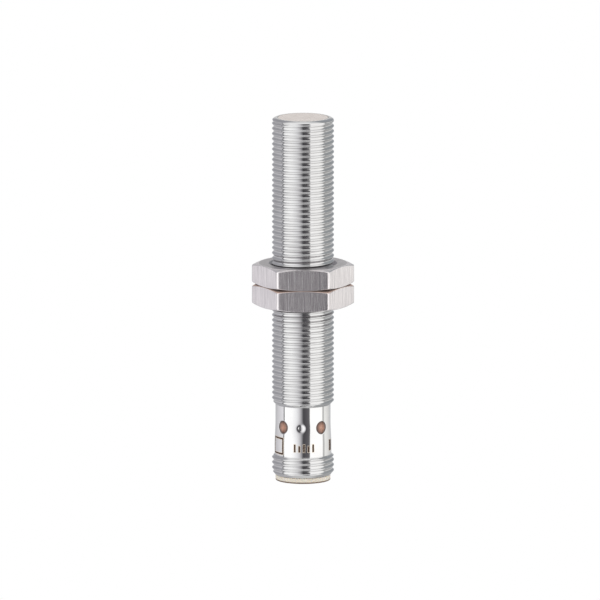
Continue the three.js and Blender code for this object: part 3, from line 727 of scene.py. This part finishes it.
def make_nut(name, body, node):
    """A chamfered hexagon nut: at each angle the profile runs bore, countersink, face, chamfer, flat and
    back. The bend between the chamfer and the flat is the curve b (1 - t)^2 along the one and b t^2 down the
    other. Each nut is a hair longer than its solid on the side of the other nut, to narrow their gap."""
    low, high = (corner.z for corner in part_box(node))
    rubbed_high = node == "nut_lower"
    if rubbed_high:
        high += NUT_SPARE
    else:
        low -= NUT_SPARE
    corner = math.pi / 3 * np.arange(6)
    near = np.radians([-8, -4, -2.4, -1.8, -1.3, -0.8, -0.4, 0, 0.4, 0.8, 1.3, 1.8, 2.4, 4, 8,
                       14, 22, 30, 38, 46])
    angle = np.sort((corner[:, None] + near[None, :]).ravel() % (2 * math.pi))
    side = hexagon_radius(angle)
    drop = (side - NUT_FACE_R) * NUT_SLOPE
    soft, fine = 0.07 * MM, 0.03 * MM
    bend = 0.06 * MM + 0.18 * MM * ((side - NUT_FLATS) / (side.max() - NUT_FLATS)) ** 2
    sink_r = NUT_BORE_R + NUT_SINK
    half = [
        (NUT_BORE_R, 1.2 * MM),
        (NUT_BORE_R, NUT_SINK),
        (sink_r - soft, soft),
        (sink_r, 0.015 * MM),
        (sink_r + soft, 0),
        (NUT_FACE_R - 0.8 * MM, 0),
        (NUT_FACE_R - fine, 0),
        (NUT_FACE_R + fine, fine * NUT_SLOPE),
    ]
    half = [(np.full_like(angle, r), np.full_like(angle, d)) for r, d in half]
    for t in (0, 0.2, 0.4, 0.6, 0.8, 1):
        half.append((side - bend * (1 - t) ** 2, drop - bend * NUT_SLOPE * (1 - t) ** 2 + bend * t ** 2))
    profile = [(r, high - d) for r, d in half] + [(r, low + d) for r, d in half[::-1]]
    points = np.stack([np.stack([r * np.cos(angle), r * np.sin(angle), z], axis=-1) for r, z in profile])
    shell = points.reshape(-1, 3), grid_faces(len(points), len(angle), closed_rows=True)
    made = piece(name, shell, SATIN, body, [node], sharp=40)

    # wear and painted shade by place: rubbed chamfer and painted shade in the gap towards the other nut,
    # polished edges at corners and bevels
    x, y, z = vertex_places(made)
    radius, turn = np.hypot(x, y), np.arctan2(y, x)
    flat = hexagon_radius(turn)
    from_end = np.minimum(high - z, z - low)
    from_other = high - z if rubbed_high else z - low
    near_other = from_other < (flat - NUT_FACE_R) * NUT_SLOPE + 0.5 * bend.min()
    on_face = (radius < NUT_FACE_R) & (from_end < 0.05 * MM)
    worn = rubbed_high & near_other & (radius > NUT_FACE_R)
    rim = near_other & (radius > NUT_FACE_R) & (radius < NUT_FACE_R + 1.2 * fine)
    across_face = np.clip((radius - sink_r - soft) / (NUT_FACE_R - sink_r - soft), 0, 1)
    # painted shade in the gap: strongest on the chamfer's inner row, and on the face growing towards its
    # outer edge
    painted_gap_shade = np.where(rim, 0.85, np.where(near_other & on_face, 0.15 + 0.75 * across_face ** 2, 0))
    # the turned faces, countersink and bore: smoother in the material, and also painted darker as shade
    faced = on_face | (radius < sink_r + 2 * soft)
    below_bevel = from_end - (flat - NUT_FACE_R) * NUT_SLOPE
    on_bevel = (below_bevel < 0.25 * MM) & (below_bevel > -0.1 * MM)
    on_corner = from_corner(turn) < math.radians(2.5)
    edge = (radius > flat - 0.4 * MM) & (on_corner | on_bevel) & ~worn
    for attribute, value in (("worn", worn), ("painted_gap_shade", painted_gap_shade), ("faced", faced), ("edge", edge)):
        mark_vertices(made, attribute, value)


make_nut("mounting_nut_upper", "upper_nut", "nut_upper")
make_nut("mounting_nut_lower", "lower_nut", "nut_lower")


# Carried-over nodes keep their shape and get their finish

FINISH_BY_SLOT = {
    "contact_gold": GOLD,
    "ferrite": speckled("sintered_ferrite", (0.03, 0.03, 0.03), (0.08, 0.075, 0.07), 0.6),
    "copper": speckled("enamelled_copper", (0.42, 0.14, 0.05), (0.62, 0.24, 0.10), 0.3, 1.0,
                       scale=3000, stretch=(0.1, 0.1, 4), depth=0.00003),
    "black_plastic": speckled("black_plastic", (0.012, 0.012, 0.012), (0.03, 0.03, 0.03), 0.5),
    "component_tan": speckled("tan_ceramic", (0.34, 0.22, 0.12), (0.48, 0.33, 0.19), 0.45),
    "board_green": speckled("green_board", (0.02, 0.10, 0.05), (0.03, 0.16, 0.08), 0.35,
                            scale=1800, stretch=(1, 1, 0.4)),
    "led_clear": speckled("led_body", (0.70, 0.52, 0.14), (0.86, 0.70, 0.30), 0.15),
    "seal_rubber": speckled("black_rubber", (0.01, 0.01, 0.01), (0.025, 0.025, 0.025), 0.7),
    "potting_resin": speckled("cast_resin", (0.03, 0.026, 0.02), (0.06, 0.05, 0.04), 0.25, scale=900),
    "wire_cover": speckled("wire_cover", (0.25, 0.08, 0.03), (0.34, 0.12, 0.05), 0.4),
}

SLOT_BY_NODE = {part["node"]: part["material_slot"] for part in frame["record"]["subparts"]}
for node_name, node_object in frame["nodes"].items():
    if node_object.hide_render:
        continue
    finish = FINISH_BY_SLOT[SLOT_BY_NODE[node_name]]
    node_object.data.materials.clear()
    node_object.data.materials.append(finish)


# Studio

def make_floor():
    """A wide pale floor that throws soft light up at the object. The camera and the metal's reflections
    do not see it, so the object's underside can be looked at too."""
    half = 1.5
    mesh = bpy.data.meshes.new("floor")
    corners = [(-half, -half, 0), (half, -half, 0), (half, half, 0), (-half, half, 0)]
    mesh.from_pydata(corners, [], [(0, 1, 2, 3)])
    floor = bpy.data.objects.new("floor", mesh)
    bpy.context.scene.collection.objects.link(floor)
    material, _, _, shader, _ = new_material("pale_floor")
    shader.inputs["Base Color"].default_value = (0.93, 0.93, 0.93, 1)
    shader.inputs["Roughness"].default_value = 0.9
    shader.inputs["Emission Color"].default_value = (1, 1, 1, 1)
    shader.inputs["Emission Strength"].default_value = 0.8
    mesh.materials.append(material)
    floor.visible_glossy = False
    floor.visible_camera = False
    floor.location.z = -0.02 * MM


make_floor()

# Brightness of the studio by azimuth in degrees from the front towards +X: softboxes either side of a
# dark gap in front, dimmer walls behind. The upper and lower rows differ beside and behind the object.
PANELS = [
    (-180, (0.60, 0.60, 0.62)),
    (-150, (0.58, 0.58, 0.60)),
    (-128, (0.72, 0.71, 0.74)),
    (-93, (0.92, 0.91, 0.94)),
    (-89.5, (0.88, 0.87, 0.90)),
    (-87.5, (0.12, 0.12, 0.13)),
    (-84.5, (0.12, 0.12, 0.13)),
    (-82.5, (1.34, 1.34, 1.34)),
    (-46, (1.28, 1.28, 1.28)),
    (-34, (1.14, 1.14, 1.15)),
    (-24, (0.98, 0.98, 1.00)),
    (-15, (0.74, 0.73, 0.75)),
    (-7, (0.44, 0.43, 0.45)),
    (-2, (0.20, 0.20, 0.21)),
    (1, (0.080, 0.077, 0.084)),
    (18, (0.125, 0.12, 0.13)),
    (27, (0.18, 0.175, 0.18)),
    (30, (1.30, 1.29, 1.28)),
    (86, (1.30, 1.29, 1.27)),
    (92, (0.55, 0.55, 0.54)),
    (96, (0.55, 0.55, 0.54)),
    (101, (1.04, 1.04, 1.01)),
    (119, (0.93, 0.92, 0.90)),
    (138, (0.75, 0.75, 0.74)),
    (152, (0.64, 0.64, 0.65)),
    (180, (0.60, 0.60, 0.62)),
]
SLIT = (0.72, 0.72, 0.72)
UPPER_PANELS = [
    (-180, SLIT),
    (-174, SLIT),
    (-168, (0.41, 0.41, 0.44)),
    (-120, (0.47, 0.47, 0.50)),
    (-93, (0.58, 0.58, 0.61)),
    *[panel for panel in PANELS if -88 < panel[0] < 90],
    (94, (0.47, 0.48, 0.49)),
    (120, (0.40, 0.42, 0.43)),
    (168, (0.38, 0.40, 0.43)),
    (174, SLIT),
    (180, SLIT),
]
LOWER_PANELS = [
    (-180, (0.48, 0.48, 0.50)),
    (-93, (0.66, 0.65, 0.68)),
    *[panel for panel in PANELS if -88 < panel[0] < 90],
    (94, (0.56, 0.56, 0.55)),
    (180, (0.40, 0.41, 0.43)),
]
OVERHEAD = (1.08, 1.08, 1.08)
UNDER = (0.75, 0.75, 0.75)


def height_at(elevation):
    """The Z of a direction at that many degrees above the horizon."""
    return math.sin(math.radians(elevation))


def make_studio():
    """Soft studio light as a world: upright panels round the object, a bright ceiling and a pale table.
    What the camera sees behind the object is plain white, or pale grey when it looks from behind."""
    world = bpy.data.worlds.new("studio")
    bpy.context.scene.world = world
    world.use_nodes = True
    nodes, links = world.node_tree.nodes, world.node_tree.links
    nodes.clear()
    split = nodes.new("ShaderNodeSeparateXYZ")
    links.new(nodes.new("ShaderNodeTexCoord").outputs["Generated"], split.inputs[0])
    right, back, up = split.outputs
    azimuth = maths(nodes, links, "ARCTAN2", right, maths(nodes, links, "MULTIPLY", back, -1.0))
    share = spread(nodes, links, azimuth, 0, 1, -math.pi, math.pi)
    middle, upper, lower = (
        ramp_of(nodes, links, share, [((degrees + 180) / 360, colour) for degrees, colour in panels])
        for panels in (PANELS, UPPER_PANELS, LOWER_PANELS)
    )

    def rising(start, end):
        """From 0 to 1 between two elevations."""
        return spread(nodes, links, up, 0, 1, height_at(start), height_at(end))

    ahead = spread(nodes, links, back, 1, 0, -0.35, -0.05)
    front_sky = maths(nodes, links, "MULTIPLY", rising(36, 50), ahead)
    layers = [
        (rising(-5, 2), upper),
        (rising(-14, -20), lower),
        (front_sky, OVERHEAD),
        (rising(50, 64), OVERHEAD),
        (rising(-62, -76), UNDER),
    ]
    colour = middle
    for factor, layer in layers:
        colour = colour_between(nodes, links, factor, colour, layer)
    light = nodes.new("ShaderNodeBackground")
    links.new(colour, light.inputs["Color"])
    backdrop = nodes.new("ShaderNodeBackground")
    links.new(spread(nodes, links, back, 0.62, 1, -0.6, -0.1), backdrop.inputs["Color"])
    seen = nodes.new("ShaderNodeMixShader")
    links.new(nodes.new("ShaderNodeLightPath").outputs["Is Camera Ray"], seen.inputs["Fac"])
    links.new(light.outputs[0], seen.inputs[1])
    links.new(backdrop.outputs[0], seen.inputs[2])
    links.new(seen.outputs[0], nodes.new("ShaderNodeOutputWorld").inputs["Surface"])


make_studio()


def make_camera():
    """A long lens ten degrees above the object, aimed a little left of and below its middle."""
    elevation = math.radians(10)
    distance = 3.5
    width = 114.2857 * MM
    aim = Vector((-0.57 * MM, 0, 34.7 * MM))
    camera = bpy.data.objects.new("camera", bpy.data.cameras.new("camera"))
    bpy.context.scene.collection.objects.link(camera)
    back = Vector((0, -math.cos(elevation), math.sin(elevation)))
    camera.location = aim + back * distance
    camera.rotation_mode = "QUATERNION"
    camera.rotation_quaternion = (-back).to_track_quat("-Z", "Y")
    camera.data.lens = camera.data.sensor_width * distance / width
    camera.data.clip_end = 20
    bpy.context.scene.camera = camera


make_camera()
bpy.context.scene.view_settings.view_transform = "Standard"
